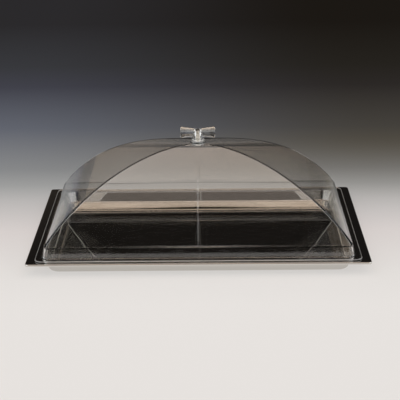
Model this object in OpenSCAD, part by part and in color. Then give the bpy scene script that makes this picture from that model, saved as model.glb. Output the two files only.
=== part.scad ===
// Clear buffet cover standing on a shallow polished serving tray.
// The cover is a vault of four curved panels over a steep band, and lifts straight
// off the tray by the bow-tie handle on its crown.
// Origin: middle of the tray's underside. +Z up, +X along the tray, +Y to the back.

/* [Tray] */
// Length of the tray over its flange
tray_l = 530; // [515:1:560]
// Width of the tray over its flange
tray_w = 325; // [318:1:345]
// Height of the tray, from its underside to the top of its flange
tray_h = 20; // [16:1:60]
// Thickness of the drawn sheet
sheet_t = 1; // [0.6:0.1:1.4]
// Width of the flange at each end, from the tray's edge to the top of the pan's wall
end_flange_w = 28; // [24:0.5:34]
// Width of the flange along each long side, from the tray's edge to the top of the pan's wall
side_flange_w = 12.5; // [10:0.5:15]
// Corner radius of the tray's flange in plan
tray_corner_r = 5; // [3:0.5:12]
// Corner radius of the pan in plan, at the inside of its wall's top
pan_corner_r = 22; // [14:1:40]
// Lean of the pan's wall from upright, outwards towards its top
wall_lean = 18; // [5:1:22]
// Outer radius of the bend between the pan's floor and its wall
floor_bend_r = 4; // [2:0.5:9]
// Radius of the bend between the pan's wall and the flange, on its upper face
lip_bend_r = 3; // [2:0.5:5]
// Height of the turned-down rim round the flange
rim_h = 3; // [2:0.5:6]

/* [Cover] */
// Width of the tray's flange that the cover leaves bare at each end
end_margin = 13.5; // [8:0.5:18]
// Width of the tray's flange that the cover leaves bare along each long side
side_margin = 6.5; // [3:0.5:8.5]
// Width from the edge of the cover's flange to the top of the band
cover_flange_w = 13.5; // [11:0.5:16]
// Thickness of the cover's flange
cover_flange_t = 2.5; // [2:0.1:4]
// Corner radius of the cover's flange in plan
cover_corner_r = 11; // [8:0.5:18]
// Wall of the cover
wall_t = 3; // [2:0.1:4]
// Height of the band above the tray's flange
band_h = 19; // [12:0.5:26]
// Corner radius of the band in plan, at its top
band_corner_r = 7; // [5:0.5:12]
// Lean of the band from upright, outwards towards its foot
band_lean = 12; // [2:1:15]

/* [Vault] */
// Height of the crown above the tray's flange
crown_h = 143; // [125:1:160]
// How far the long panels' feet stand in from the band at its corners
foot_inset = 5; // [2:0.5:8]
// Radius of the long panels
panel_r = 186; // [172:1:215]
// Height above the crown at which the two long panels would meet
gable_over = 2.5; // [1:0.5:6]
// Height of the flat pads on the crown, above it and below the inside of the wall
pad_h = 0.4; // [0.4:0.1:1]
// Width of the pads round the foot of the handle's post
pad_margin = 2.5; // [1:0.5:4]

/* [Handle] */
// Length of the handle across its wings
handle_l = 56; // [46:1:70]
// Diameter of each wing at its end
wing_d = 17.8; // [15:0.1:22]
// Diameter of the wings where they meet at the middle
waist_d = 11; // [9:0.5:14]
// Rounding of the wings' ends
wing_edge_r = 2; // [1:0.1:3]
// Diameter of the handle's post
post_d = 19; // [15:0.5:21]
// Diameter of the foot of the post
post_foot_d = 21; // [17:0.5:22]
// Height of the foot of the post
post_foot_h = 2; // [1:0.1:3]
// Height of the finger gap under the wings' ends, above the foot of the post
finger_gap = 4.5; // [3.5:0.1:8]

/* [Fixing] */
// Nominal diameter of the fixing screw
screw_d = 5; // [4:0.5:6]
// Reach of the screw into the insert
screw_reach = 12; // [8:0.5:13]
// Diameter of the screw's head
head_d = 9.5; // [8.5:0.1:12]
// Height of the screw's head
head_h = 3.2; // [2.4:0.1:4]
// Width of the slots in the screw's cross recess
recess_w = 1.3; // [0.8:0.1:1.6]
// Depth of the screw's cross recess
recess_depth = 1.6; // [1:0.1:2]
// Length of each slot of the cross recess
recess_l = 5; // [4:0.1:6]
// Clearance round the screw in the washers and in the cover
screw_clear = 0.5; // [0.2:0.1:0.8]
// Radial clearance of the screw's thread in the insert
thread_clear = 0.05; // [0.02:0.01:0.1]
// Outer diameter of the threaded insert
insert_d = 7; // [6.6:0.1:9]
// Length of the threaded insert past the end of the screw
insert_spare = 3; // [1:0.5:4]
// Radial clearance round the insert in the post
insert_clear = 0.05; // [0.02:0.01:0.1]
// Outer diameter of the steel washer
washer_d = 15; // [13:0.5:18]
// Thickness of the steel washer
washer_t = 1.2; // [0.8:0.1:1.6]
// How far the soft washers stand in from the edge of the post's foot
gasket_inset = 0.5; // [0:0.1:1]
// Thickness of each soft washer
gasket_t = 0.8; // [0.5:0.1:1.5]

/* [Hidden] */
$fn = 96;

// Small overlap that lets cuts run past the faces they open
cut = 1;

// Opening of the pan at the inside of its wall's top
pan_l = tray_l - 2 * end_flange_w;
pan_w = tray_w - 2 * side_flange_w;

// Cover and the top of its band, stepped in from the tray's edge
cover_l = tray_l - 2 * end_margin;
cover_w = tray_w - 2 * side_margin;
band_l = cover_l - 2 * cover_flange_w;
band_w = cover_w - 2 * cover_flange_w;

// Levels of the cover, which rests on the tray's flange
rest_z = tray_h;
foot_z = rest_z + band_h;
crown_z = rest_z + crown_h;

// End panels: one arc over the whole length, from foot to foot through the crown
end_rise = crown_h - band_h;
end_r = (pow(band_l / 2, 2) + pow(end_rise, 2)) / (2 * end_rise);
end_z = crown_z - end_r;

// Long panels: an arc from the foot to the gable, its centre past the middle line
foot_y = band_w / 2 - foot_inset;
panel_rise = crown_h + gable_over - band_h;
panel_chord = norm([foot_y, panel_rise]);
panel_sag = sqrt(pow(panel_r, 2) - pow(panel_chord / 2, 2));
panel_y = foot_y / 2 - panel_sag * panel_rise / panel_chord;
panel_z = foot_z + panel_rise / 2 - panel_sag * foot_y / panel_chord;

// Each long panel is folded so that its middle comes flush with the band
crease_a = atan(2 * foot_inset / band_l);

// Stack of the handle's fixing, outwards and inwards from the crown
seat_z = crown_z + pad_h;
handle_z = seat_z + gasket_t;
inner_seat_z = crown_z - wall_t - pad_h;
washer_z = inner_seat_z - gasket_t;
head_z = washer_z - washer_t;
wing_z = handle_z + finger_gap + wing_d / 2;
insert_l = screw_reach + insert_spare;
screw_hole_d = screw_d + 2 * screw_clear;
gasket_d = post_foot_d - 2 * gasket_inset;
pad_d = post_foot_d + 2 * pad_margin;

// Flat rounded rectangle, lying from z = 0 up
module rounded_slab(l, w, h, r) {
    linear_extrude(h) {
        square([l - 2 * r, w], center = true);
        square([l, w - 2 * r], center = true);
        for (sx = [-1, 1], sy = [-1, 1])
            translate([sx * (l / 2 - r), sy * (w / 2 - r)]) circle(r);
    }
}

// Carries a section round a rounded rectangle. The section's x runs outwards from the
// centre of the corners, and its y runs up.
module round_rectangle(l, w, r) {
    for (quarter = [0 : 3]) {
        odd = quarter % 2;
        along = odd ? l : w;
        across = odd ? w : l;
        rotate([0, 0, 90 * quarter]) translate([across / 2 - r, along / 2 - r, 0]) {
            rotate_extrude(angle = 90) children();
            rotate([90, 0, 0]) linear_extrude(along - 2 * r) children();
        }
    }
}

// Slab whose sides lean outwards towards its foot. Its length, width and corner radius are
// those of its top, and it lies from z = 0 up.
module leaning_slab(l, w, h, r, lean) {
    round_rectangle(l, w, r) polygon([[0, 0], [r + h * tan(lean), 0], [r, h], [0, h]]);
    translate([-l / 2 + r, -w / 2 + r, 0]) cube([l - 2 * r, w - 2 * r, h]);
}

// Point at a distance from the origin, in a direction
function polar(distance, angle) = distance * [cos(angle), sin(angle)];

// Bend of sheet between two directions, less than a quarter turn apart
module sheet_bend(r_out, start, stop) {
    reach = 2 * r_out;
    intersection() {
        difference() {
            circle(r_out);
            circle(r_out - sheet_t);
        }
        polygon([[0, 0], polar(reach, start), polar(reach, stop)]);
    }
}

// Section of the pan's sheet: floor, bend, leaning wall and lip
module pan_section() {
    lip = [pan_corner_r + lip_bend_r, tray_h - lip_bend_r];
    bends_apart = lip_bend_r + floor_bend_r - sheet_t;
    floor_rise = lip[1] - floor_bend_r;
    floor_x = lip[0] - (floor_rise * sin(wall_lean) + bends_apart) / cos(wall_lean);
    bend = [floor_x, floor_bend_r];
    inwards = 180 - wall_lean;
    square([floor_x, sheet_t]);
    translate(bend) sheet_bend(floor_bend_r, -90, -wall_lean);
    polygon([
        bend + polar(floor_bend_r - sheet_t, -wall_lean), bend + polar(floor_bend_r, -wall_lean),
        lip + polar(lip_bend_r - sheet_t, inwards), lip + polar(lip_bend_r, inwards)
    ]);
    translate(lip) sheet_bend(lip_bend_r, 90, inwards);
}

module tray() {
    lip_l = pan_l + 2 * lip_bend_r;
    lip_w = pan_w + 2 * lip_bend_r;
    lip_corner_r = pan_corner_r + lip_bend_r;
    color([0.74, 0.74, 0.75]) {
        round_rectangle(pan_l, pan_w, pan_corner_r) pan_section();
        translate([-pan_l / 2 + pan_corner_r, -pan_w / 2 + pan_corner_r, 0])
            cube([pan_l - 2 * pan_corner_r, pan_w - 2 * pan_corner_r, sheet_t]);
        difference() {
            translate([0, 0, tray_h - rim_h])
                rounded_slab(tray_l, tray_w, rim_h, tray_corner_r);
            translate([0, 0, tray_h - rim_h - sheet_t])
                rounded_slab(
                    tray_l - 2 * sheet_t, tray_w - 2 * sheet_t, rim_h, tray_corner_r - sheet_t
                );
            translate([0, 0, tray_h - rim_h - cut])
                rounded_slab(lip_l, lip_w, rim_h + 2 * cut, lip_corner_r);
        }
    }
}

// Space under the end panels' arc, its face moved inwards by inset
module end_barrel(inset) {
    translate([0, 0, end_z]) rotate([90, 0, 0])
        cylinder(r = end_r - inset, h = 2 * band_w, center = true, $fn = 240);
}

// Space under one half of a long panel, turned about the foot of its corner
module panel_barrel(sx, sy, inset) {
    translate([sx * band_l / 2, sy * foot_y, 0]) rotate([0, 0, -sx * sy * crease_a])
        translate([0, sy * (panel_y - foot_y), panel_z]) rotate([0, 90, 0])
            cylinder(r = panel_r - inset, h = 4 * band_l, center = true, $fn = 240);
}

// The vault as a solid: everything that lies under all the panels
module vault(inset) {
    intersection() {
        end_barrel(inset);
        intersection_for (sx = [-1, 1], sy = [-1, 1]) panel_barrel(sx, sy, inset);
    }
}

// Flat boss through the crown, with the two pads that clamp the handle's washers
module crown_boss() {
    translate([0, 0, inner_seat_z]) cylinder(d = pad_d, h = seat_z - inner_seat_z);
}

module cover_shell() {
    top = crown_z + wall_t;
    inner_top_z = foot_z - wall_t;
    inner_step = wall_t * (1 - tan(band_lean));
    color([0.86, 0.89, 0.9, 0.35]) difference() {
        union() {
            translate([0, 0, rest_z]) rounded_slab(cover_l, cover_w, cover_flange_t, cover_corner_r);
            translate([0, 0, rest_z]) leaning_slab(band_l, band_w, band_h, band_corner_r, band_lean);
            intersection() {
                vault(0);
                translate([0, 0, inner_top_z])
                    rounded_slab(band_l, band_w, top - inner_top_z, band_corner_r);
            }
            crown_boss();
        }
        difference() {
            union() {
                translate([0, 0, rest_z - cut])
                    leaning_slab(
                        band_l - 2 * inner_step, band_w - 2 * inner_step,
                        inner_top_z - rest_z + cut, band_corner_r - inner_step, band_lean
                    );
                intersection() {
                    vault(wall_t);
                    translate([0, 0, inner_top_z - cut])
                        rounded_slab(
                            band_l - 2 * wall_t, band_w - 2 * wall_t,
                            top - inner_top_z, band_corner_r - wall_t
                        );
                }
            }
            crown_boss();
        }
        translate([0, 0, inner_seat_z - cut])
            cylinder(d = screw_hole_d, h = seat_z - inner_seat_z + 2 * cut);
    }
}

// One wing of the handle, standing on its waist
module wing() {
    length = handle_l / 2;
    end_radius = wing_d / 2;
    rotate_extrude() {
        polygon([
            [0, 0], [waist_d / 2, 0], [end_radius, length - wing_edge_r],
            [0, length - wing_edge_r]
        ]);
        translate([0, length - wing_edge_r]) square([end_radius - wing_edge_r, wing_edge_r]);
        intersection() {
            translate([end_radius - wing_edge_r, length - wing_edge_r]) circle(wing_edge_r);
            translate([0, length - wing_edge_r]) square([end_radius, wing_edge_r]);
        }
    }
}

module handle() {
    knuckle_z = wing_z + waist_d / 2 - post_d / 2;
    color([0.9, 0.92, 0.93, 0.45]) difference() {
        union() {
            translate([0, 0, wing_z]) for (side = [-90, 90]) rotate([0, side, 0]) wing();
            translate([0, 0, handle_z]) cylinder(d = post_d, h = knuckle_z - handle_z);
            translate([0, 0, knuckle_z]) sphere(d = post_d);
            translate([0, 0, handle_z]) cylinder(d = post_foot_d, h = post_foot_h);
        }
        translate([0, 0, handle_z - cut])
            cylinder(d = insert_d + 2 * insert_clear, h = insert_l + cut);
    }
}

module handle_insert() {
    color([0.7, 0.71, 0.72]) translate([0, 0, handle_z]) difference() {
        cylinder(d = insert_d, h = insert_l);
        translate([0, 0, -cut]) cylinder(d = screw_d + 2 * thread_clear, h = insert_l + 2 * cut);
    }
}

// Flat ring round the screw, standing on z = 0
module ring(d, h) {
    difference() {
        cylinder(d = d, h = h);
        translate([0, 0, -cut]) cylinder(d = screw_hole_d, h = h + 2 * cut);
    }
}

module seat_gasket() {
    color([0.8, 0.82, 0.82, 0.6]) translate([0, 0, seat_z]) ring(gasket_d, gasket_t);
}

module inner_gasket() {
    color([0.8, 0.82, 0.82, 0.6]) translate([0, 0, washer_z]) ring(gasket_d, gasket_t);
}

module flat_washer() {
    color([0.7, 0.71, 0.72]) translate([0, 0, head_z]) ring(washer_d, washer_t);
}

module fixing_screw() {
    shank_l = handle_z + screw_reach - head_z;
    color([0.7, 0.71, 0.72]) translate([0, 0, head_z]) difference() {
        union() {
            cylinder(d = screw_d, h = shank_l);
            translate([0, 0, -head_h]) cylinder(d = head_d, h = head_h);
        }
        for (turn = [0, 90])
            rotate([0, 0, turn]) translate([-recess_l / 2, -recess_w / 2, -head_h - cut])
                cube([recess_l, recess_w, recess_depth + cut]);
    }
}

tray();
cover_shell();
handle();
handle_insert();
seat_gasket();
inner_gasket();
flat_washer();
fixing_screw();
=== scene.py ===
"""Clear vaulted buffet cover on its polished serving tray: meshes, finishes, light and view."""

import logging
import math
from abc import ABC, abstractmethod
from dataclasses import dataclass, replace
from enum import Enum
from typing import Any, Iterable, Mapping, Sequence

import bpy
from mathutils import Matrix, Vector


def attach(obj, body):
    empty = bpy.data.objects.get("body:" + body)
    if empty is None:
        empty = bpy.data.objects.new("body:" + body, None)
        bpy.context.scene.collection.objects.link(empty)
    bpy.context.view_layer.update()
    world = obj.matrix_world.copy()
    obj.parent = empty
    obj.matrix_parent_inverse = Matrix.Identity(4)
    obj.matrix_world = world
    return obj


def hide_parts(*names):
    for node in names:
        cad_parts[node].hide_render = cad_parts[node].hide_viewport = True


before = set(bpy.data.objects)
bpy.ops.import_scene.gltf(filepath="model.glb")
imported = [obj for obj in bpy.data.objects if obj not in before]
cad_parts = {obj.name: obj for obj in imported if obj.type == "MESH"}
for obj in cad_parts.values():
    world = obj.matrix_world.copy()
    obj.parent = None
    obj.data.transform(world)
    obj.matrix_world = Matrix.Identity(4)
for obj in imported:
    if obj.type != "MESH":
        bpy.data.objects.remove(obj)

LOG = logging.getLogger("buffet_cover")

# All sizes below are millimetres; meshes are written in metres.
MM = 0.001
SHARP_ANGLE = math.radians(32)
TURNED_STEPS = 72
# Nearly all of a noise's values lie between these two.
NOISE_SPAN = (0.3, 0.7)
# The wave texture runs through this many radians in one unit of its scale.
WAVE_RATE = 20.0
# A new colour ramp holds this many stops.
READY_STOPS = 2

Plan = tuple[float, float]
Point = tuple[float, float, float]
Ring = list[Point]
Step = tuple[Any, ...]
Material = bpy.types.Material
Node = bpy.types.Node
Piece = bpy.types.Object
Socket = bpy.types.NodeSocket
Tree = bpy.types.NodeTree


class Body(Enum):
    """Bodies of the set that move on their own."""

    TRAY = "tray"
    COVER = "cover"


class Slot(Enum):
    """Names of material slots, listed beside the washers' finishes but given to no piece."""

    POLISHED_STEEL = "polished_steel"
    CLEAR_COVER = "clear_cover"
    CLEAR_HANDLE = "clear_handle"
    FIXING_STEEL = "fixing_steel"
    SOFT_WASHER = "soft_washer"


class Close(Enum):
    """How a loft is closed: back onto its first ring, or with a flat cap at each end."""

    LOOP = "loop"
    CAPS = "caps"


def linear(colour: str) -> tuple[float, float, float, float]:
    """Turns an sRGB hex colour into the linear colour that a socket takes.

    Args:
        colour: Six hex digits after a hash sign.

    Returns:
        Linear red, green and blue, with an alpha of one.
    """
    channels = (int(colour[i : i + 2], 16) / 255 for i in (1, 3, 5))
    red, green, blue = (
        c / 12.92 if c <= 0.04045 else ((c + 0.055) / 1.055) ** 2.4 for c in channels
    )
    return red, green, blue, 1.0


def per_metre(size_mm: float) -> float:
    """Gives the pattern scale that repeats once in a size in millimetres."""
    return 1 / (size_mm * MM)


def blend(low: float, high: float, part: float) -> float:
    """Gives the value that lies a part of the way from low to high."""
    return low + (high - low) * part


def add_node(
    tree: Tree, kind: str, inputs: Mapping[Any, Any] | None = None, **settings: Any
) -> Node:
    """Adds one node to a tree, with its values, links and settings.

    Args:
        tree: Tree that gets the node.
        kind: Type name of the node.
        inputs: Values or linked output sockets, by the input's name or number.
        settings: Properties of the node itself.

    Returns:
        The new node.
    """
    node = tree.nodes.new(kind)
    for key, value in settings.items():
        setattr(node, key, value)
    for key, value in (inputs or {}).items():
        socket = node.inputs[key]
        if isinstance(value, Socket):
            tree.links.new(value, socket)
        else:
            socket.default_value = value
    return node


@dataclass
class Surface:
    """A material that is being dressed: its tree, its shader and its coordinates in metres."""

    tree: Tree
    shader: Node
    place: Socket

    def plain(self, values: Mapping[str, Any]) -> None:
        """Sets the shader's own sockets that are the same all over the surface."""
        for name, value in values.items():
            self.shader.inputs[name].default_value = value

    def drive(self, name: str, source: Socket) -> None:
        """Links what changes over the surface to one of the shader's sockets."""
        self.tree.links.new(source, self.shader.inputs[name])

    def pattern(
        self, size_mm: Sequence[float], detail: float, span: tuple[float, float]
    ) -> Socket:
        """Adds a noise of a real size, spread over a range of values.

        Args:
            size_mm: Size of the pattern along each axis.
            detail: Octaves of finer noise.
            span: Values at the noise's low and high end.

        Returns:
            The output with the spread values.
        """
        scale = tuple(per_metre(size) for size in size_mm)
        scaled = add_node(self.tree, "ShaderNodeMapping", {"Vector": self.place, "Scale": scale})
        values = {"Vector": scaled.outputs[0], "Scale": 1.0, "Detail": detail}
        noise = add_node(self.tree, "ShaderNodeTexNoise", values).outputs["Fac"]
        values = {"From Min": NOISE_SPAN[0], "From Max": NOISE_SPAN[1]}
        values |= {"Value": noise, "To Min": span[0], "To Max": span[1]}
        return add_node(self.tree, "ShaderNodeMapRange", values).outputs[0]

    def wave(self, length_mm: float, height_mm: float) -> None:
        """Bends the reflections with a long shallow wave.

        Args:
            length_mm: Length of the wave.
            height_mm: Height of the wave.
        """
        height = self.pattern((length_mm,) * 3, 0.0, (0.0, height_mm * MM))
        values = {"Strength": 1.0, "Distance": 1.0, "Height": height}
        self.drive("Normal", add_node(self.tree, "ShaderNodeBump", values).outputs[0])


@dataclass(frozen=True)
class Finish(ABC):
    """A real material with its surface, made as one node material."""

    name: str

    def material(self) -> Material:
        """Makes the material.

        Returns:
            A new material with this finish's nodes on its shader.
        """
        made = bpy.data.materials.new(self.name)
        made.use_nodes = True
        tree = made.node_tree
        place = add_node(tree, "ShaderNodeTexCoord").outputs["Object"]
        self.dress(Surface(tree, tree.nodes["Principled BSDF"], place))
        return made

    @abstractmethod
    def dress(self, on: Surface) -> None:
        """Sets the shader and adds the patterns that drive it.

        Args:
            on: Surface that is dressed.
        """


@dataclass(frozen=True)
class PolishedStainless(Finish):
    """Cold-rolled stainless sheet, drawn and mirror polished."""

    # A neutral, slightly warm mirror. The polishing strokes haze it in long streaks, and
    # the drawn sheet ripples the reflections a little.
    name: str = "stainless_sheet_mirror_polished"
    colour: str = "#d9d6d1"
    clean: float = 0.02
    hazed: float = 0.035
    stroke_l: float = 90.0
    stroke_w: float = 1.6
    stroke_detail: float = 2.0
    ripple_l: float = 65.0
    ripple_h: float = 0.003

    def dress(self, on: Surface) -> None:
        """Sets the steel, its polishing streaks and its long ripple.

        Args:
            on: Surface that is dressed.
        """
        on.plain({"Base Color": linear(self.colour), "Metallic": 1.0})
        strokes = (self.stroke_l, self.stroke_w, self.stroke_w)
        on.drive("Roughness", on.pattern(strokes, self.stroke_detail, (self.clean, self.hazed)))
        on.wave(self.ripple_l, self.ripple_h)


@dataclass(frozen=True)
class ClearPlastic(Finish):
    """Clear polycarbonate, injection moulded in a polished tool."""

    # Glass-clear with a hard gloss. Handling leaves faint soft scuffs, and the melt's flow
    # leaves a long shallow wave that bends the reflections. A trimmed edge is matt and less
    # clear, and so catches the light as a pale line.
    name: str = "polycarbonate_moulded_clear"
    colour: str = "#fdfcfa"
    index: float = 1.585
    clean: float = 0.004
    scuffed: float = 0.03
    scuff_l: float = 14.0
    scuff_detail: float = 5.0
    wave_l: float = 120.0
    wave_h: float = 0.004
    clear: float = 1.0

    def dress(self, on: Surface) -> None:
        """Sets the clear plastic, its scuffs and its flow wave.

        Args:
            on: Surface that is dressed.
        """
        on.plain({"Base Color": linear(self.colour), "IOR": self.index})
        on.plain({"Transmission Weight": self.clear})
        scuffs = (self.scuff_l,) * 3
        on.drive("Roughness", on.pattern(scuffs, self.scuff_detail, (self.clean, self.scuffed)))
        on.wave(self.wave_l, self.wave_h)


@dataclass(frozen=True)
class TurnedMetal(Finish):
    """Metal turned on a lathe about the upright axis."""

    # Fine tool rings run round it and streak its highlights, drawn coarser than a real
    # cut so that they show.
    colour: str
    smooth: float
    rough: float
    ring_pitch: float = 0.5
    waver: float = 0.4

    def dress(self, on: Surface) -> None:
        """Sets the metal and its tool rings.

        Args:
            on: Surface that is dressed.
        """
        on.plain({"Base Color": linear(self.colour), "Metallic": 1.0})
        values = {"Vector": on.place, "Scale": per_metre(self.ring_pitch) / WAVE_RATE}
        values |= {"Distortion": self.waver}
        rings = add_node(
            on.tree, "ShaderNodeTexWave", values, wave_type="RINGS", rings_direction="Z"
        )
        values = {"Value": rings.outputs["Fac"], "To Min": self.smooth, "To Max": self.rough}
        on.drive("Roughness", add_node(on.tree, "ShaderNodeMapRange", values).outputs[0])


@dataclass(frozen=True)
class Silicone(Finish):
    """Translucent silicone sheet, stamped into washers."""

    # Milky and soft: light soaks in, and a fine dusty tooth keeps the gloss low.
    name: str = "silicone_sheet_translucent"
    colour: str = "#e4e6e4"
    index: float = 1.41
    clear: float = 0.35
    tooth: float = 0.6
    tooth_detail: float = 3.0
    smooth: float = 0.35
    rough: float = 0.6

    def dress(self, on: Surface) -> None:
        """Sets the milky body and its dusty tooth.

        Args:
            on: Surface that is dressed.
        """
        on.plain({"Base Color": linear(self.colour), "IOR": self.index})
        on.plain({"Transmission Weight": self.clear})
        tooth = (self.tooth,) * 3
        on.drive("Roughness", on.pattern(tooth, self.tooth_detail, (self.smooth, self.rough)))


@dataclass(frozen=True)
class StudioPaper(Finish):
    """Matt background paper with painted light falloff: pale in front, painted shade dark behind.
    """

    # Flat and even: its colour is painted with the studio light's falloff, smoothly, from pale in
    # front to dark at the back, where painted shade makes the right side darker and warmer than
    # the left.
    # Part of what is seen of it is its own light, which softens the shadows on it.
    name: str = "paper_matt_painted_falloff"
    front: float = -260.0
    back: float = 1600.0
    painted_falloff_stops: tuple[tuple[float, str], ...] = (
        (-260.0, "#eae7e4"),
        (-150.0, "#e6e3e0"),
        (16.0, "#dad4d2"),
        (156.0, "#bdbbba"),
        (235.0, "#a1a2a2"),
        (320.0, "#8b8d8f"),
        (580.0, "#646872"),
        (910.0, "#42434c"),
        (1100.0, "#393a3e"),
        (1600.0, "#2c2b2d"),
    )
    left: float = -520.0
    right: float = 400.0
    painted_shade_from: float = 80.0
    painted_shade_full: float = 520.0
    right_painted_shade: str = "#b6a991"
    own_light: float = 0.68
    fibre: float = 3.0
    fibre_detail: float = 2.0
    smooth: float = 0.85
    rough: float = 1.0

    def dress(self, on: Surface) -> None:
        """Sets the paper's shades, its own light and its faint fibre.

        Args:
            on: Surface that is dressed.
        """
        self.light_up(on, self.shade(on))
        on.plain({"Specular IOR Level": 0.0})
        fibre = (self.fibre,) * 3
        on.drive("Roughness", on.pattern(fibre, self.fibre_detail, (self.smooth, self.rough)))

    def shade(self, on: Surface) -> Socket:
        """Paints the light's falloff on the paper from front to back and, behind, painted shade
        from left to right.

        Args:
            on: Surface that is dressed.

        Returns:
            The output with the painted light and shade.
        """
        # Painted light falloff: the ramp runs from pale in front to dark behind, and behind,
        # painted shade darkens and warms the right side.
        split = add_node(on.tree, "ShaderNodeSeparateXYZ", {0: on.place}).outputs
        along, across, behind = (
            add_node(
                on.tree,
                "ShaderNodeMapRange",
                {"Value": split[axis], "From Min": low * MM, "From Max": high * MM},
                interpolation_type=step,
            ).outputs[0]
            for axis, step, low, high in (
                ("Y", "LINEAR", self.front, self.back),
                ("X", "SMOOTHSTEP", self.left, self.right),
                ("Y", "SMOOTHSTEP", self.painted_shade_from, self.painted_shade_full),
            )
        )
        ramp = add_node(on.tree, "ShaderNodeValToRGB", {"Fac": along})
        stops = ramp.color_ramp.elements
        for number, (where, shade) in enumerate(self.painted_falloff_stops):
            position = (where - self.front) / (self.back - self.front)
            stop = stops[number] if number < READY_STOPS else stops.new(position)
            stop.position = position
            stop.color = linear(shade)
        part = add_node(on.tree, "ShaderNodeMath", {0: across, 1: behind}, operation="MULTIPLY")
        values = {"Fac": part.outputs[0], "Color1": ramp.outputs["Color"]}
        values |= {"Color2": linear(self.right_painted_shade)}
        return add_node(on.tree, "ShaderNodeMixRGB", values, blend_type="MULTIPLY").outputs[0]

    def light_up(self, on: Surface, shade: Socket) -> None:
        """Gives the paper light of its own, wherever it is seen or mirrored.

        Args:
            on: Surface that is dressed.
            shade: The paper's shade.
        """
        ray = add_node(on.tree, "ShaderNodeLightPath").outputs
        seen: Socket = ray["Is Camera Ray"]
        for kind in ("Is Glossy Ray", "Is Transmission Ray"):
            values = {0: seen, 1: ray[kind]}
            seen = add_node(on.tree, "ShaderNodeMath", values, operation="MAXIMUM").outputs[0]
        glow, lit = (
            add_node(
                on.tree, "ShaderNodeMapRange", {"Value": seen, "To Min": unseen, "To Max": shown}
            ).outputs[0]
            for unseen, shown in ((0.0, self.own_light), (1.0, 1.0 - self.own_light))
        )
        values = {0: shade, "Scale": lit}
        base = add_node(on.tree, "ShaderNodeVectorMath", values, operation="SCALE")
        on.drive("Base Color", base.outputs[0])
        on.drive("Emission Color", shade)
        on.drive("Emission Strength", glow)


def arc(centre: Plan, radius: float, start: float, stop: float, steps: int) -> list[Plan]:
    """Walks an arc in a plan or a section.

    Args:
        centre: Centre of the arc.
        radius: Radius of the arc.
        start: First angle in degrees.
        stop: Last angle in degrees.
        steps: Number of steps along it.

    Returns:
        Points from the first angle to the last.
    """
    turns = (math.radians(blend(start, stop, step / steps)) for step in range(steps + 1))
    return [
        (centre[0] + radius * math.cos(turn), centre[1] + radius * math.sin(turn))
        for turn in turns
    ]


@dataclass(frozen=True)
class Outline:
    """Rectangle in plan with rounded corners, its long sides folded outwards at a crease."""

    half_l: float
    half_w: float
    corner_r: float
    bulge: float = 0.0

    # Where points stand along half an end, along half a side and beside the crease.
    END_PARTS = (0.0, 0.2, 0.4, 0.6, 0.8)
    SIDE_PARTS = (0.88, 0.72, 0.56, 0.4, 0.26)
    CREASE_STEPS = (2.4, 0.8, 0.4, 0.0)
    ARC_STEPS = 8
    # A point stands this far beside each corner, or this part of a short end or side.
    SUPPORT = 0.5
    END_SUPPORT = 0.1
    SIDE_SUPPORT = 0.05

    def quarter(self) -> list[Plan]:
        """Walks the quarter from the middle of an end to the middle of a long side.

        Returns:
            Plan points, the first on the X axis and the last on the Y axis.
        """
        fold = math.atan2(self.bulge, self.half_l)
        centre_x = self.half_l - self.corner_r
        centre_y = self.half_w + self.corner_r * (math.tan(fold) - 1 / math.cos(fold))
        points = [(self.half_l, centre_y * part) for part in self.END_PARTS]
        points.append((self.half_l, centre_y - min(self.SUPPORT, centre_y * self.END_SUPPORT)))
        last = 90 - math.degrees(fold)
        points += arc((centre_x, centre_y), self.corner_r, 0, last, self.ARC_STEPS)
        start_x, start_y = points[-1]
        steps = [start_x - min(self.SUPPORT, start_x * self.SIDE_SUPPORT)]
        steps += [start_x * part for part in self.SIDE_PARTS] + list(self.CREASE_STEPS)
        points += [(x, start_y + (start_x - x) * math.tan(fold)) for x in steps]
        return points

    def ring(self, z: float, bead: float = 0.0) -> Ring:
        """Carries the outline round at one height.

        Args:
            z: Height of the ring.
            bead: Height of the raised line on the crease.

        Returns:
            Points in order, counter-clockwise seen from above.
        """
        crease = self.CREASE_STEPS[1]
        quarter = [(x, y + bead * max(0.0, 1 - (x / crease) ** 2)) for x, y in self.quarter()]
        walk = quarter[:-1] + [(-x, y) for x, y in reversed(quarter[1:])]
        walk += [(-x, -y) for x, y in walk]
        return [(x, y, z) for x, y in walk]

    def grown(self, by: float) -> "Outline":
        """Gives the outline moved outwards by a distance."""
        return Outline(self.half_l + by, self.half_w + by, self.corner_r + by, self.bulge)

    def towards(self, other: "Outline", part: float) -> "Outline":
        """Gives the outline a part of the way to another one."""
        sizes = ("half_l", "half_w", "corner_r", "bulge")
        return Outline(*(blend(getattr(self, s), getattr(other, s), part) for s in sizes))


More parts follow.
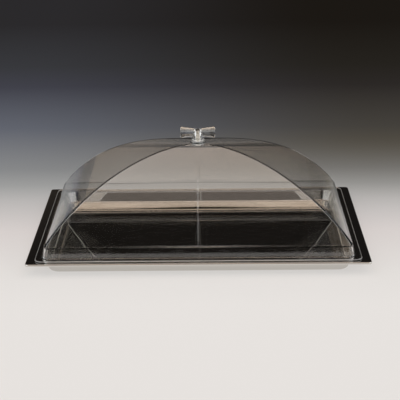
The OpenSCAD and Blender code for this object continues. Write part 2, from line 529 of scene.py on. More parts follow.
@dataclass
class Skin:
    """Points and faces of a mesh that is being made."""

    points: list[Point]
    faces: list[tuple[int, ...]]

    @classmethod
    def loft(cls, rings: Sequence[Ring], close: Close) -> "Skin":
        """Spans faces between rings of equally many points.

        Args:
            rings: Rings in order, so that the faces look outwards.
            close: How the two ends are closed.

        Returns:
            The closed skin.
        """
        count = len(rings[0])
        points = [point for ring in rings for point in ring]
        rows = len(rings) if close is Close.LOOP else len(rings) - 1
        faces: list[tuple[int, ...]] = []
        for row in range(rows):
            low, high = row * count, (row + 1) % len(rings) * count
            for here in range(count):
                there = (here + 1) % count
                faces.append((low + here, low + there, high + there, high + here))
        if close is Close.CAPS:
            faces.append(tuple(reversed(range(count))))
            faces.append(tuple(range(len(points) - count, len(points))))
        return cls(points, faces)

    @classmethod
    def turned(cls, profile: Iterable[Plan], close: Close, steps: int = TURNED_STEPS) -> "Skin":
        """Turns a section about the upright axis.

        Args:
            profile: Radius and height of each step, so that the faces look outwards.
            close: How the two ends are closed.
            steps: Number of points round it.

        Returns:
            The turned skin.
        """
        turns = [math.tau * step / steps for step in range(steps)]
        rings = [[(r * math.cos(t), r * math.sin(t), z) for t in turns] for r, z in profile]
        return cls.loft(rings, close)

    def joined(self, other: "Skin") -> "Skin":
        """Gives one skin that holds both skins' points and faces."""
        moved = [tuple(index + len(self.points) for index in face) for face in other.faces]
        return Skin(self.points + other.points, self.faces + moved)

    def along_x(self, z_up: float) -> "Skin":
        """Gives the skin laid over, with its upright axis along X at a height."""
        return Skin([(z, x, y + z_up) for x, y, z in self.points], self.faces)

    def piece(self, name: str, material: Material | None = None) -> Piece:
        """Writes the skin as an object at the origin.

        Args:
            name: Name of the object and its mesh.
            material: Material of all its faces.

        Returns:
            The new object.
        """
        mesh = bpy.data.meshes.new(name)
        mesh.from_pydata(
            [tuple(value * MM for value in point) for point in self.points], [], self.faces
        )
        if material is not None:
            mesh.materials.append(material)
        shade(mesh)
        made = bpy.data.objects.new(name, mesh)
        bpy.context.scene.collection.objects.link(made)
        return made


def shade(mesh: bpy.types.Mesh) -> None:
    """Shades a mesh smooth, with its real edges kept sharp."""
    mesh.shade_smooth()
    mesh.set_sharp_from_angle(angle=SHARP_ANGLE)


def settle(piece: Piece) -> None:
    """Turns what a piece's modifiers give into its own plain mesh.

    Args:
        piece: Object whose modifiers are used up.
    """
    graph = bpy.context.evaluated_depsgraph_get()
    mesh = bpy.data.meshes.new_from_object(piece.evaluated_get(graph))
    piece.modifiers.clear()
    old = piece.data
    piece.data = mesh
    mesh.name = piece.name
    bpy.data.meshes.remove(old)
    shade(mesh)


def cut_away(piece: Piece, tool: Piece) -> None:
    """Cuts a tool's shape out of a piece.

    Args:
        piece: Object that is cut.
        tool: Object that is cut away and then removed.
    """
    cut = piece.modifiers.new("cut", "BOOLEAN")
    cut.operation = "DIFFERENCE"
    cut.solver = "EXACT"
    cut.object = tool
    settle(piece)
    bpy.data.objects.remove(tool)


@dataclass(frozen=True)
class Grooves:
    """V grooves pressed into a turned piece between two heights, by a geometry tree.

    Each step of the tree's formula is an operation on numbers and on named values: a point's
    coordinates, the tree's inputs and earlier steps. The steps of place count the grooves up
    to a point; sizes are the inputs in metres, among them Depth, Start and End.
    """

    name: str
    place: dict[str, Step]
    sizes: dict[str, float]

    TURN = {"angle": ("ARCTAN2", "Y", "X"), "around": ("DIVIDE", "angle", math.tau)}
    GROOVE = {
        "flank": ("PINGPONG", "place", 0.5),
        "groove": ("MULTIPLY", "flank", 2.0),
        "depth": ("MULTIPLY", "groove", "Depth"),
        "above": ("GREATER_THAN", "Z", "Start"),
        "below": ("LESS_THAN", "Z", "End"),
        "within": ("MULTIPLY", "above", "below"),
        "inwards": ("MULTIPLY", "depth", "within"),
        "outwards": ("MULTIPLY", "inwards", -1.0),
    }

    def tree(self, material: Material) -> Tree:
        """Builds the tree, which moves points along the line from the upright axis.

        Args:
            material: Material that the tree sets.

        Returns:
            The tree, with its named inputs.
        """
        tree = bpy.data.node_groups.new(self.name, "GeometryNodeTree")
        sockets = [("Geometry", "INPUT", "Geometry")]
        sockets += [(label, "INPUT", "Float") for label in self.sizes]
        for label, way, kind in sockets + [("Geometry", "OUTPUT", "Geometry")]:
            tree.interface.new_socket(label, in_out=way, socket_type=f"NodeSocket{kind}")
        start = add_node(tree, "NodeGroupInput").outputs
        position = add_node(tree, "GeometryNodeInputPosition").outputs[0]
        split = add_node(tree, "ShaderNodeSeparateXYZ", {0: position}).outputs
        known = {axis: split[axis] for axis in "XYZ"}
        known |= {label: start[label] for label in self.sizes}
        for name, (operation, *values) in (self.TURN | self.place | self.GROOVE).items():
            inputs = {slot: known.get(value, value) for slot, value in enumerate(values)}
            step = add_node(tree, "ShaderNodeMath", inputs, operation=operation)
            known[name] = step.outputs[0]
        flat = add_node(tree, "ShaderNodeCombineXYZ", {axis: split[axis] for axis in "XY"})
        shift = flat.outputs[0]
        for operation, inputs in (("NORMALIZE", {}), ("SCALE", {"Scale": known["outwards"]})):
            inputs = {0: shift, **inputs}
            shift = add_node(tree, "ShaderNodeVectorMath", inputs, operation=operation).outputs[0]
        made = start["Geometry"]
        for kind, inputs in (
            ("GeometryNodeSetPosition", {"Offset": shift}),
            ("GeometryNodeRealizeInstances", {}),
            ("GeometryNodeSetMaterial", {"Material": material}),
        ):
            made = add_node(tree, kind, {"Geometry": made, **inputs}).outputs[0]
        add_node(tree, "NodeGroupOutput", {"Geometry": made})
        return tree

    def press(self, piece: Piece) -> None:
        """Runs the tree on a piece and keeps its result as the piece's mesh.

        Args:
            piece: Object that the tree shapes, with its material.
        """
        rule = piece.modifiers.new("rule", "NODES")
        rule.node_group = self.tree(piece.data.materials[0])
        for item in rule.node_group.interface.items_tree:
            if item.name in self.sizes:
                rule[item.identifier] = self.sizes[item.name]
        settle(piece)


def hand_over(piece: Piece, body: Body, node: str) -> None:
    """Ties a finished piece to its body and the solid it stands for.

    Args:
        piece: Finished object.
        body: Body that it moves with.
        node: Solid that it stands for.
    """
    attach(piece, body.value)
    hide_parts(node)
    LOG.info("%s: %d faces, on the %s", piece.name, len(piece.data.polygons), body.value)


@dataclass
class Tray:
    """Shallow serving tray, drawn from one sheet, with a flat flange and a turned-down rim."""

    length: float = 530.0
    width: float = 325.0
    height: float = 20.0
    sheet_t: float = 1.0
    end_flange_w: float = 28.0
    side_flange_w: float = 12.5
    corner_r: float = 5.0
    pan_corner_r: float = 22.0
    wall_lean: float = 18.0
    floor_bend_r: float = 4.0
    lip_bend_r: float = 3.0
    bend_steps: int = 7
    rim_h: float = 3.0
    rim_bend_r: float = 1.2
    edge_r: float = 0.25
    edge_steps: int = 3
    # The innermost ring of the floor, and the rings that keep flat faces flat beside a bend.
    middle_part: float = 0.25
    middle_corner_r: float = 6.0
    support: float = 0.4

    def section(self) -> list[tuple[Outline, float]]:
        """Walks the sheet's section from the middle underneath to the middle on top.

        Returns:
            The outline and the height of each ring.
        """
        half_l, half_w = self.length / 2, self.width / 2
        rim = Outline(half_l, half_w, self.corner_r)
        pan = Outline(half_l - self.end_flange_w, half_w - self.side_flange_w, self.pan_corner_r)
        part = self.middle_part
        middle = Outline(pan.half_l * part, pan.half_w * part, self.middle_corner_r)
        sheet, lip, bend, near = self.sheet_t, self.lip_bend_r, self.floor_bend_r, self.support
        top, lean = self.height, math.radians(self.wall_lean)
        lip_z = top - lip
        apart = (lip_z - bend) * math.sin(lean) + lip + bend - sheet
        floor_edge = lip - apart / math.cos(lean)

        under = arc((floor_edge, bend), bend, -90, -self.wall_lean, self.bend_steps)
        under_lip = arc((lip, lip_z), lip - sheet, 180 - self.wall_lean, 90, self.bend_steps)
        pan_steps = [(floor_edge - near, 0.0), *under, *self.beside(under[-1], under_lip[0])]
        pan_steps += [*under_lip, (lip + near, top - sheet)]

        low, edge, turn = top - self.rim_h, self.edge_r, self.rim_bend_r
        rim_steps = [(-sheet - near, top - sheet), (-sheet, top - sheet)]
        rim_steps += arc((edge - sheet, low + edge), edge, 180, 270, self.edge_steps)
        rim_steps += arc((-edge, low + edge), edge, -90, 0, self.edge_steps)
        rim_steps += [(0.0, top - turn - near)]
        rim_steps += arc((-turn, top - turn), turn, 0, 90, self.bend_steps)
        rim_steps += [(-turn - near, top)]

        over_lip = arc((lip, lip_z), lip, 90, 180 - self.wall_lean, self.bend_steps)
        over = arc((floor_edge, bend), bend - sheet, -self.wall_lean, -90, self.bend_steps)
        top_steps = [(lip + near, top), *over_lip, *self.beside(over_lip[-1], over[0])]
        top_steps += [*over, (floor_edge - near, sheet)]

        walk = [(middle, 0.0)]
        for plan, steps in ((pan, pan_steps), (rim, rim_steps), (pan, top_steps)):
            walk += [(plan.grown(out), z) for out, z in steps]
        return walk + [(middle, sheet)]

    def beside(self, start: Plan, stop: Plan) -> list[Plan]:
        """Gives the two points of a straight stretch that lie just inside its ends."""
        part = self.support / math.dist(start, stop)
        return [
            (blend(start[0], stop[0], along), blend(start[1], stop[1], along))
            for along in (part, 1 - part)
        ]

    def build(self, steel: Material) -> None:
        """Makes the tray and ties it to its body.

        Args:
            steel: Finish of the sheet.
        """
        rings = [outline.ring(z) for outline, z in self.section()]
        piece = Skin.loft(rings, Close.CAPS).piece("serving_tray", steel)
        hand_over(piece, Body.TRAY, "tray")


@dataclass
class Vault:
    """Four curved panels: both ends on one long arc, and two long sides with a crease."""

    half_l: float
    foot_y: float
    foot_z: float
    crown_z: float
    inset: float
    panel_r: float
    gable_over: float
    # Height over which the panels run into each other at the crown.
    soft: float = 0.25

    def __post_init__(self) -> None:
        """Works out the arcs' radii and centres."""
        rise = self.crown_z - self.foot_z
        self.end_r = (self.half_l**2 + rise**2) / (2 * rise)
        self.end_z = self.crown_z - self.end_r
        gable = rise + self.gable_over
        chord = math.hypot(self.foot_y, gable)
        sag = math.sqrt(self.panel_r**2 - (chord / 2) ** 2)
        self.panel_y = self.foot_y / 2 - sag * gable / chord
        self.panel_z = self.foot_z + gable / 2 - sag * self.foot_y / chord
        self.crease = math.atan(self.inset / self.half_l)

    def end_x(self, z: float, wall: float) -> float:
        """Gives the end panel's reach at a height, a wall's thickness inside its face."""
        return math.sqrt((self.end_r - wall) ** 2 - (z - self.end_z) ** 2)

    def fold(self, x: float) -> float:
        """Gives how far the crease brings the long panel out at a place along the cover."""
        return (self.half_l - abs(x)) * math.tan(self.crease)

    def side_y(self, x: float, z: float, wall: float) -> float:
        """Gives the long panel's reach at a place along the cover and a height."""
        plain = self.panel_y + math.sqrt((self.panel_r - wall) ** 2 - (z - self.panel_z) ** 2)
        return self.foot_y + (plain - self.foot_y) / math.cos(self.crease) + self.fold(x)

    def roof(self, x: float, y: float, wall: float) -> float:
        """Gives the vault's height over a plan point, with the panels blended softly.

        Args:
            x: Place along the cover.
            y: Place across it.
            wall: Distance inside the outer face.

        Returns:
            The height.
        """
        over_end = self.end_z + math.sqrt((self.end_r - wall) ** 2 - x**2)
        flat = (abs(y) - self.foot_y - self.fold(x)) * math.cos(self.crease) + self.foot_y
        side_r = self.panel_r - wall
        over_side = self.panel_z + math.sqrt(side_r**2 - (flat - self.panel_y) ** 2)
        share = sum(math.exp((self.crown_z - z) / self.soft) for z in (over_end, over_side))
        return self.crown_z - self.soft * math.log(share)


@dataclass
class Cover:
    """Clear cover: flange, leaning band, four-panel vault and the handle's pads."""

    tray: Tray
    end_margin: float = 13.5
    side_margin: float = 6.5
    corner_r: float = 11.0
    flange_w: float = 13.5
    flange_t: float = 2.5
    wall_t: float = 3.0
    band_h: float = 19.0
    band_corner_r: float = 7.0
    band_lean: float = 12.0
    crown_h: float = 143.0
    foot_inset: float = 5.0
    panel_r: float = 186.0
    gable_over: float = 2.5
    panel_rings: int = 56
    pad_d: float = 26.0
    pad_h: float = 0.4
    pad_edge_r: float = 0.2
    pad_edge_steps: int = 3
    pad_slope: float = 0.03
    hole_d: float = 6.0
    seat_gap: float = 0.05
    edge_r: float = 1.15
    edge_steps: int = 4
    foot_r: float = 1.5
    shoulder_r: float = 0.6
    bend_steps: int = 5
    end_bend_r: float = 1.2
    ridge_r: float = 1.2
    inner_ridge_r: float = 0.8
    bead_h: float = 0.45
    bead_run: float = 6.0
    ledge_rise: float = 0.3
    ledge_parts: tuple[float, ...] = (0.1, 0.5, 0.9, 1.0)
    inner_ledge_parts: tuple[float, ...] = (0.0, 0.1, 0.9)
    top_reach: float = 22.0
    crown_parts: tuple[float, ...] = (0.3, 0.6, 0.85, 1.0)
    # Rings this far from a bend keep the flat faces beside it flat in the light.
    support: float = 0.3
    inner_support: float = 0.4

    def __post_init__(self) -> None:
        """Works out the flange, the band, the vault and the handle's two seats."""
        self.flange = Outline(
            self.tray.length / 2 - self.end_margin,
            self.tray.width / 2 - self.side_margin,
            self.corner_r,
        )
        self.band = replace(self.flange.grown(-self.flange_w), corner_r=self.band_corner_r)
        self.rest_z = self.tray.height
        self.foot_z = self.rest_z + self.band_h
        self.lean = math.radians(self.band_lean)
        self.vault = Vault(
            self.band.half_l,
            self.band.half_w - self.foot_inset,
            self.foot_z,
            self.rest_z + self.crown_h,
            self.foot_inset,
            self.panel_r,
            self.gable_over,
        )
        self.seat_z = self.vault.crown_z + self.pad_h
        self.inner_seat_z = self.vault.crown_z - self.wall_t - self.pad_h

    def band_face(self, z: float) -> float:
        """Gives how far the band's face stands out at a height, from where its top is."""
        return (self.foot_z - z) * math.tan(self.lean)

    def end_reach(self, z: float) -> float:
        """Gives the outer face's reach at the ends, rounded where the band meets the panel.

        Args:
            z: Height.

        Returns:
            Distance from the middle.
        """
        half, radius = self.band.half_l, self.end_bend_r
        slope = math.atan2(self.foot_z - self.vault.end_z, half)
        share = radius / (1 + math.cos(slope - self.lean))
        centre_x = half - share * (math.cos(self.lean) + math.cos(slope))
        centre_z = self.foot_z - share * (math.sin(self.lean) + math.sin(slope))
        if z <= centre_z + radius * math.sin(self.lean):
            return half + self.band_face(z)
        if z < centre_z + radius * math.sin(slope):
            return centre_x + math.sqrt(radius**2 - (z - centre_z) ** 2)
        return self.vault.end_x(z, 0.0)

    def vault_outline(self, z: float, wall: float) -> Outline:
        """Gives the vault's plan at a height.

        Args:
            z: Height of the plan.
            wall: Zero for the outer face, or the wall's thickness for the inner one.

        Returns:
            The plan, with its crease.
        """
        if wall:
            reach = min(self.band.half_l - wall, self.vault.end_x(z, wall))
            limit, radius = self.band.half_w - wall, self.inner_ridge_r
        else:
            reach = self.end_reach(z)
            limit, radius = self.band.half_w - self.shoulder_r, self.ridge_r
        corner = min(limit, self.vault.side_y(reach, z, wall))
        middle = min(limit, self.vault.side_y(0.0, z, wall))
        return Outline(reach, corner, radius, middle - corner)

    def panel_heights(self, start_z: float, wall: float) -> list[float]:
        """Spaces the vault's rings evenly along the end panel's arc.

        Args:
            start_z: Height of the first ring.
            wall: Distance inside the outer face.

        Returns:
            Heights from the first ring up to the crown's pads.
        """
        radius = self.vault.end_r - wall
        first = math.acos((start_z - self.vault.end_z) / radius)
        last = math.asin(self.top_reach / radius)
        return [start_z] + [
            self.vault.end_z + radius * math.cos(blend(first, last, step / self.panel_rings))
            for step in range(1, self.panel_rings + 1)
        ]

    def crown(self, start: Ring, wall: float) -> list[Ring]:
        """Leads the vault from its last plan ring to the round pad.

        Args:
            start: The last plan ring.
            wall: Distance inside the outer face.

        Returns:
            Rings from the vault up to the pad's foot.
        """
        rings = []
        for part in self.crown_parts:
            ring = []
            for x, y, _ in start:
                scale = self.pad_d / 2 / math.hypot(x, y)
                here = blend(x, x * scale, part), blend(y, y * scale, part)
                ring.append((*here, self.vault.roof(*here, wall)))
            rings.append(ring)
        return rings

    def outside(self) -> list[Ring]:
        """Walks the outer face from the flange's underside to the foot of the pad.

        Returns:
            Rings in order.
        """
        low, top = self.rest_z + self.seat_gap, self.rest_z + self.flange_t
        edge, near = self.edge_r, self.support
        steps = [(-edge - near, low), *arc((-edge, low + edge), edge, -90, 0, self.edge_steps)]
        steps += [*arc((-edge, top - edge), edge, 0, 90, self.edge_steps), (-edge - near, top)]
        rings = [self.flange.grown(out).ring(z) for out, z in steps]

        foot, shoulder = self.foot_r, self.shoulder_r
        tip = 1 / math.cos(self.lean)
        foot_x = self.band_face(top + foot) + foot * tip
        shoulder_z = self.foot_z - shoulder
        shoulder_x = self.band_face(shoulder_z) - shoulder * tip
        bend = arc((foot_x, top + foot), foot, 270, 180 + self.band_lean, self.bend_steps)
        turn = arc((shoulder_x, shoulder_z), shoulder, self.band_lean, 90, self.bend_steps)
        straight = (bend[-1][1] + near, turn[0][1] - near)
        steps = [(foot_x + near, top), *bend, *((self.band_face(z), z) for z in straight)]
        rings += [self.band.grown(out).ring(z) for out, z in steps]

        plans = [(self.band.grown(out), z) for out, z in turn]
        start = self.band.grown(shoulder_x)
        stop = self.vault_outline(self.foot_z + self.ledge_rise, 0.0)
        for part in self.ledge_parts:
            plans.append((start.towards(stop, part), self.foot_z + self.ledge_rise * part))
        rings += [replace(plan, half_l=self.end_reach(z)).ring(z) for plan, z in plans]
        for z in self.panel_heights(self.foot_z + 2 * self.ledge_rise, 0.0):
            bead = self.bead_h * min(1.0, (z - self.foot_z) / self.bead_run)
            rings.append(self.vault_outline(z, 0.0).ring(z, bead))
        return rings + self.crown(rings[-1], 0.0)

    def pads(self, foot: Ring) -> list[Ring]:
        """Walks over the outer pad, down the screw hole and over the inner pad.

        Args:
            foot: The ring at the outer pad's foot.

        Returns:
            Rings in order.
        """
        top, low, near = self.seat_z, self.inner_seat_z, self.support
        pad, hole, edge = self.pad_d / 2, self.hole_d / 2, self.pad_edge_r
        steps = arc((pad - edge, top - edge), edge, 0, 90, self.pad_edge_steps)
        steps += [(pad - edge - near, top), (hole + near, top), (hole, top), (hole, low)]
        steps += [(hole + near, low), (pad - near, low), (pad, low + self.pad_slope)]
        rings = []
        for radius, z in steps:
            scales = [radius / math.hypot(x, y) for x, y, _ in foot]
            rings.append([(x * s, y * s, z) for (x, y, _), s in zip(foot, scales)])
        return rings

    def inside(self) -> list[Ring]:
        """Walks the inner face from the inner pad down to the underside.

        Returns:
            Rings in order.
        """
        wall, rise = self.wall_t, self.ledge_rise
        top, low = self.foot_z - wall, self.rest_z + self.seat_gap
        straight = (low, top - self.inner_support, top)
        *plans, inner = [self.band.grown(self.band_face(z) - wall) for z in straight]
        upward = [plan.ring(z) for plan, z in zip(plans, straight)]
        ledge_z = top + rise
        stop = self.vault_outline(ledge_z, wall)
        for part in self.inner_ledge_parts:
            upward.append(inner.towards(stop, part).ring(top + rise * part))
        for z in [ledge_z] + self.panel_heights(ledge_z + rise, wall):
            upward.append(self.vault_outline(z, wall).ring(z))
        return (upward + self.crown(upward[-1], wall))[::-1]

    def build(self, plastic: Material, trimmed: Material) -> None:
        """Makes the cover and ties it to its body.

        Args:
            plastic: Finish of the moulding.
            trimmed: Finish of the upper half of the flange's edge.
        """
        outside = self.outside()
        rings = outside + self.pads(outside[-1]) + self.inside()
        piece = Skin.loft(rings, Close.LOOP).piece("clear_cover", plastic)
        piece.data.materials.append(trimmed)
        strip = (self.edge_steps + 1) * len(rings[0])
        for face in piece.data.polygons[strip : 2 * strip]:
            face.material_index = 1
        # The studio's light passes through the clear plastic.
        piece.visible_shadow = False
        hand_over(piece, Body.COVER, "cover_shell")


@dataclass
class Fixing:
    """What holds the handle: screw, steel washer, two soft washers and the insert."""

    seat_z: float
    inner_seat_z: float
    hole_d: float
    gasket_t: float = 0.8
    gasket_d: float = 20.0
    gasket_edge_r: float = 0.25
    washer_t: float = 1.2
    washer_d: float = 15.0
    edge_r: float = 0.2
    edge_steps: int = 4
    screw_d: float = 5.0
    head_d: float = 9.5
    head_h: float = 3.2
    head_round_r: float = 1.3
    head_steps: int = 6
    neck_steps: int = 3
    plain_l: float = 3.0
    reach: float = 12.0
    tip_chamfer: float = 0.6
    thread_pitch: float = 0.8
    thread_depth: float = 0.45
    thread_rings: int = 10
    thread_margin: float = 0.05
    recess_w: float = 1.3
    recess_l: float = 5.0
    recess_depth: float = 1.6
    recess_over: float = 0.5
    recess_tapers: Plan = (1.05, 0.62)
    insert_d: float = 7.0
    insert_l: float = 15.0
    insert_edge: float = 0.35
    insert_clear: float = 0.05
    thread_clear: float = 0.05
    rib_count: int = 28
    rib_points: int = 8
    rib_rings: int = 12
    rib_depth: float = 0.22
    rib_margin: float = 1.1
    rib_inset: float = 0.1
    gap: float = 0.03

    def __post_init__(self) -> None:
        """Works out where the handle stands and where the screw's head sits."""
        self.handle_z = self.seat_z + self.gasket_t
        self.under_z = self.inner_seat_z - self.gasket_t
        self.head_z = self.under_z - self.washer_t

    def flat_ring(self, diameter: float, low: float, high: float, edge: float) -> Skin:
        """Makes a washer with eased edges.

        Args:
            diameter: Outer diameter.
            low: Height of its underside.
            high: Height of its upper face.
            edge: Rounding of its edges.

        Returns:
            The turned skin.
        """
        outer, inner = diameter / 2 - edge, self.hole_d / 2 + edge
        low, high = low + edge, high - edge
        profile = []
        for turn, corner in enumerate(((outer, low), (outer, high), (inner, high), (inner, low))):
            profile += arc(corner, edge, 90 * turn - 90, 90 * turn, self.edge_steps)
        return Skin.turned(profile, Close.LOOP)

    def washers(self, steel: Material, soft: Material) -> None:
        """Makes the steel washer and the two soft ones and ties them to the cover.

        Args:
            steel: Finish of the steel washer.
            soft: Finish of the soft washers.
        """
        gasket = (self.gasket_d, self.gasket_edge_r, soft, Slot.SOFT_WASHER)
        washer = (self.washer_d, self.edge_r, steel, Slot.FIXING_STEEL)
        for name, node, low, high, (diameter, edge, finish, slot) in (
            ("seat_washer_soft", "seat_gasket", self.seat_z, self.handle_z, gasket),
            ("inner_washer_soft", "inner_gasket", self.under_z, self.inner_seat_z, gasket),
            ("steel_washer", "flat_washer", self.head_z, self.under_z, washer),
        ):
            ring = self.flat_ring(diameter, low + self.gap, high - self.gap, edge)
            hand_over(ring.piece(name, finish), Body.COVER, node)

    def screw(self, steel: Material) -> None:
        """Makes the screw with its wound thread and cross recess, and ties it to the cover.

        Args:
            steel: Finish of the screw.
        """
        low, neck = self.head_z - self.head_h, self.head_z - self.gap
        head, shank, edge, dome = self.head_d / 2, self.screw_d / 2, self.edge_r, self.head_round_r
        profile = arc((head - dome, low + dome), dome, -90, 0, self.head_steps)
        profile += arc((head - edge, neck - edge), edge, 0, 90, self.neck_steps)
        profile += arc((shank + edge, neck + edge), edge, 270, 180, self.neck_steps)
        tip = self.handle_z + self.reach
        start, end = self.head_z + self.plain_l, tip - self.tip_chamfer
        rings = round((end - start) / self.thread_pitch * self.thread_rings)
        profile += [(shank, blend(start, end, ring / rings)) for ring in range(rings + 1)]
        profile += [(shank - self.tip_chamfer, tip)]
        piece = Skin.turned(profile, Close.CAPS).piece("fixing_screw_pan_head", steel)
        thread = Grooves(
            "wound_thread",
            {
                "turns": ("DIVIDE", "Z", "Pitch"),
                "wound": ("SUBTRACT", "turns", "around"),
                "place": ("FRACT", "wound"),
            },
            {
                "Pitch": self.thread_pitch * MM,
                "Depth": self.thread_depth * MM,
                "Start": (start + self.thread_margin) * MM,
                "End": (end - self.thread_margin) * MM,
            },
        )
        thread.press(piece)
        cut_away(piece, self.recess(low))
        hand_over(piece, Body.COVER, "fixing_screw")

    def recess(self, low: float) -> Piece:
        """Makes the tapered cross that is cut into the screw's head.

        Args:
            low: Height of the head's lower face.

        Returns:
            The cutting tool.
        """
        rings = []
        heights = (low - self.recess_over, low + self.recess_depth)
        for z, taper in zip(heights, self.recess_tapers):
            long, thin = self.recess_l / 2 * taper, self.recess_w / 2 * taper
            arm = [(long, -thin), (long, thin), (thin, thin)]
            quarters = ((1, 0), (0, 1), (-1, 0), (0, -1))
            rings.append([(x * c - y * s, x * s + y * c, z) for c, s in quarters for x, y in arm])
        return Skin.loft(rings, Close.CAPS).piece("cross_recess")

    def insert(self, steel: Material) -> None:
        """Makes the insert with its pressed ribs and ties it to the cover.

        Args:
            steel: Finish of the insert.
        """
        low, high = self.handle_z, self.handle_z + self.insert_l
        first, last = low + self.rib_margin, high - self.rib_margin
        ribs = Grooves(
            "pressed_ribs",
            {"place": ("MULTIPLY", "around", "Ribs")},
            {
                "Ribs": float(self.rib_count),
                "Depth": self.rib_depth * MM,
                "Start": first * MM,
                "End": last * MM,
            },
        )
        outer, bore = self.insert_d / 2, self.screw_d / 2 + self.thread_clear
        edge, inset = self.insert_edge, self.rib_inset
        low, high = low + self.gap, high - self.gap
        profile = [(outer - edge, low), (outer, low + edge)]
        for ring in range(self.rib_rings + 1):
            profile.append((outer, blend(first + inset, last - inset, ring / self.rib_rings)))
        profile += [(outer, high - edge), (outer - edge, high), (bore + edge, high)]
        profile += [(bore, high - edge), (bore, low + edge), (bore + edge, low)]
        skin = Skin.turned(profile, Close.LOOP, self.rib_points * self.rib_count)
        piece = skin.piece("threaded_insert", steel)
        ribs.press(piece)
        hand_over(piece, Body.COVER, "handle_insert")


@dataclass
class Handle:
    """Clear bow-tie handle: two flared wings on a round post, with a blind hole below."""

    base_z: float
    hole_d: float
    hole_h: float
    hole_over: float = 2.0
    length: float = 56.0
    wing_d: float = 17.8
    waist_d: float = 11.0
    wing_steps: int = 10
    wing_edge_r: float = 2.0
    wing_edge_steps: int = 6
    finger_gap: float = 4.5
    post_d: float = 19.0
    knuckle_turn: float = 88.0
    knuckle_steps: int = 16
    foot_d: float = 21.0
    foot_h: float = 2.0
    foot_edge_r: float = 0.5
    foot_edge_steps: int = 4
    grain: float = 0.34
    ease: float = 0.5
    ease_rounds: int = 8

    def __post_init__(self) -> None:
        """Works out the height of the wings' axis."""
        self.wing_z = self.base_z + self.finger_gap + self.wing_d / 2

    def wings(self) -> Skin:
        """Makes both wings as one turned bow-tie along X.

        Returns:
            The turned skin.
        """
        half, edge = self.length / 2, self.wing_edge_r
        radius, waist = self.wing_d / 2, self.waist_d / 2
        left = arc((radius - edge, -half + edge), edge, -90, 0, self.wing_edge_steps)
        for step in range(1, self.wing_steps):
            part = step / self.wing_steps
            left.append((blend(radius, waist, part), blend(-half + edge, 0.0, part)))
        profile = left + [(waist, 0.0)] + [(r, -x) for r, x in reversed(left)]
        return Skin.turned(profile, Close.CAPS).along_x(self.wing_z)

    def post(self) -> Skin:
        """Makes the post with its foot and its round knuckle.

        Returns:
            The turned skin.
        """
        radius, foot, edge = self.post_d / 2, self.foot_d / 2, self.foot_edge_r
        low, high, steps = self.base_z, self.base_z + self.foot_h, self.foot_edge_steps
        profile = arc((foot - edge, low + edge), edge, -90, 0, steps)
        profile += [*arc((foot - edge, high - edge), edge, 0, 90, steps), (radius, high)]
        knuckle = (0.0, self.wing_z + self.waist_d / 2 - radius)
        profile += arc(knuckle, radius, 0, self.knuckle_turn, self.knuckle_steps)
        return Skin.turned(profile, Close.CAPS)

    def build(self, plastic: Material) -> None:
        """Makes the handle as one moulding and ties it to its body.

        Args:
            plastic: Finish of the moulding.
        """
        piece = self.post().joined(self.wings()).piece("bow_tie_handle", plastic)
        fuse = piece.modifiers.new("fuse", "REMESH")
        fuse.mode = "VOXEL"
        fuse.voxel_size = self.grain * MM
        ease = piece.modifiers.new("ease", "SMOOTH")
        ease.factor = self.ease
        ease.iterations = self.ease_rounds
        settle(piece)
        bore = [(self.hole_d / 2, self.base_z + z) for z in (-self.hole_over, self.hole_h)]
        cut_away(piece, Skin.turned(bore, Close.CAPS).piece("insert_hole"))
        # The studio's light passes through the clear plastic.
        piece.visible_shadow = False
        hand_over(piece, Body.COVER, "handle")


@dataclass(frozen=True)
class SoftBox:
    """A round patch of soft light at a great distance, fading out towards its rim."""

    towards: Point
    rim: float
    full: float
    level: float
    tint: str = "#ffffff"


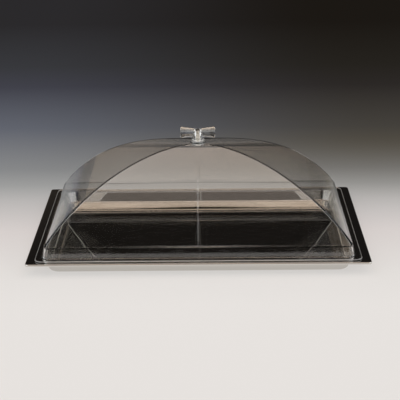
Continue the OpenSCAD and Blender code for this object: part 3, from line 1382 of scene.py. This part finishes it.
@dataclass
class Studio:
    """Paper with painted light falloff, soft light from above, both sides and behind, and the
    camera.
    """

    paper_half: float = 12000.0
    paper_z: float = -0.1
    dark: str = "#1c1a19"
    # Overhead, at both sides, behind at both sides, and low behind on the left.
    boxes: tuple[SoftBox, ...] = (
        SoftBox((0.0, 0.0, 1.0), 40.0, 32.0, 1.0, "#ffeee0"),
        SoftBox((-0.85, -0.4, 0.36), 50.0, 36.0, 1.25, "#f8fbff"),
        SoftBox((0.85, -0.4, 0.36), 50.0, 36.0, 1.25, "#f8fbff"),
        SoftBox((-0.54, 0.56, 0.63), 28.0, 14.0, 0.5),
        SoftBox((0.54, 0.56, 0.63), 28.0, 14.0, 0.5),
        SoftBox((-0.36, 0.93, 0.06), 24.0, 1.0, 0.13, "#ffe9d2"),
    )
    eye_m: Point = (0.01893, -1.72014, 0.73594)
    yaw: float = -0.0096417
    pitch: float = 0.3741
    roll: float = -0.0115175
    lens: float = 101.25
    sensor_w: float = 36.0

    def paper(self) -> None:
        """Lays the paper under the tray."""
        half = self.paper_half
        corners = [(-half, -half), (half, -half), (half, half), (-half, half)]
        skin = Skin([(x, y, self.paper_z) for x, y in corners], [(0, 1, 2, 3)])
        skin.piece("studio_paper", StudioPaper().material())

    def light(self) -> None:
        """Makes the soft boxes in an otherwise dark studio."""
        world = bpy.data.worlds.new("soft_studio")
        world.use_nodes = True
        tree = world.node_tree
        ray = add_node(tree, "ShaderNodeTexCoord").outputs["Generated"]
        total: Any = linear(self.dark)[:3]
        for box in self.boxes:
            values = {0: ray, 1: Vector(box.towards).normalized()}
            facing = add_node(tree, "ShaderNodeVectorMath", values, operation="DOT_PRODUCT")
            rim, full = (math.cos(math.radians(angle)) for angle in (box.rim, box.full))
            values = {"Value": facing.outputs["Value"], "From Min": rim, "From Max": full}
            values |= {"To Max": box.level}
            glow = add_node(tree, "ShaderNodeMapRange", values, interpolation_type="SMOOTHSTEP")
            values = {0: linear(box.tint)[:3], "Scale": glow.outputs[0]}
            tinted = add_node(tree, "ShaderNodeVectorMath", values, operation="SCALE")
            values = {0: total, 1: tinted.outputs[0]}
            total = add_node(tree, "ShaderNodeVectorMath", values, operation="ADD").outputs[0]
        tree.links.new(total, tree.nodes["Background"].inputs["Color"])
        bpy.context.scene.world = world

    def camera(self) -> None:
        """Sets the camera at the photograph's place, with its lens."""
        data = bpy.data.cameras.new("studio_camera")
        data.lens = self.lens
        data.sensor_width = self.sensor_w
        made = bpy.data.objects.new("studio_camera", data)
        place = Matrix.Translation(self.eye_m)
        for angle, axis in ((-self.yaw, "Z"), (math.pi / 2 - self.pitch, "X"), (self.roll, "Z")):
            place = place @ Matrix.Rotation(angle, 4, axis)
        made.matrix_world = place
        bpy.context.scene.collection.objects.link(made)
        bpy.context.scene.camera = made


def main() -> None:
    """Builds the studio and the set."""
    logging.basicConfig(level=logging.INFO, format="%(message)s")
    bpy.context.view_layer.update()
    bpy.context.scene.view_settings.view_transform = "Standard"

    studio = Studio()
    studio.camera()
    studio.light()
    studio.paper()

    tray = Tray()
    tray.build(PolishedStainless().material())
    cover = Cover(tray)
    trimmed = ClearPlastic(
        "polycarbonate_trimmed_matt", "#f4f3f0", clean=0.3, scuffed=0.45, clear=0.8
    )
    cover.build(ClearPlastic().material(), trimmed.material())

    fixing = Fixing(cover.seat_z, cover.inner_seat_z, cover.hole_d)
    thick = ClearPlastic("polycarbonate_moulded_clear_thick", "#fbfaf7", wave_l=18.0)
    hole_d = fixing.insert_d + 2 * fixing.insert_clear
    Handle(fixing.handle_z, hole_d, fixing.insert_l).build(thick.material())
    bright = TurnedMetal("stainless_turned_bright", "#cfcecc", smooth=0.14, rough=0.3)
    nickel = TurnedMetal("steel_turned_nickel_plated", "#d6d2cb", smooth=0.1, rough=0.24)
    steel = bright.material()
    fixing.washers(steel, Silicone().material())
    fixing.screw(steel)
    fixing.insert(nickel.material())

    LOG.info("sizes written")


if __name__ == "__main__":
    main()
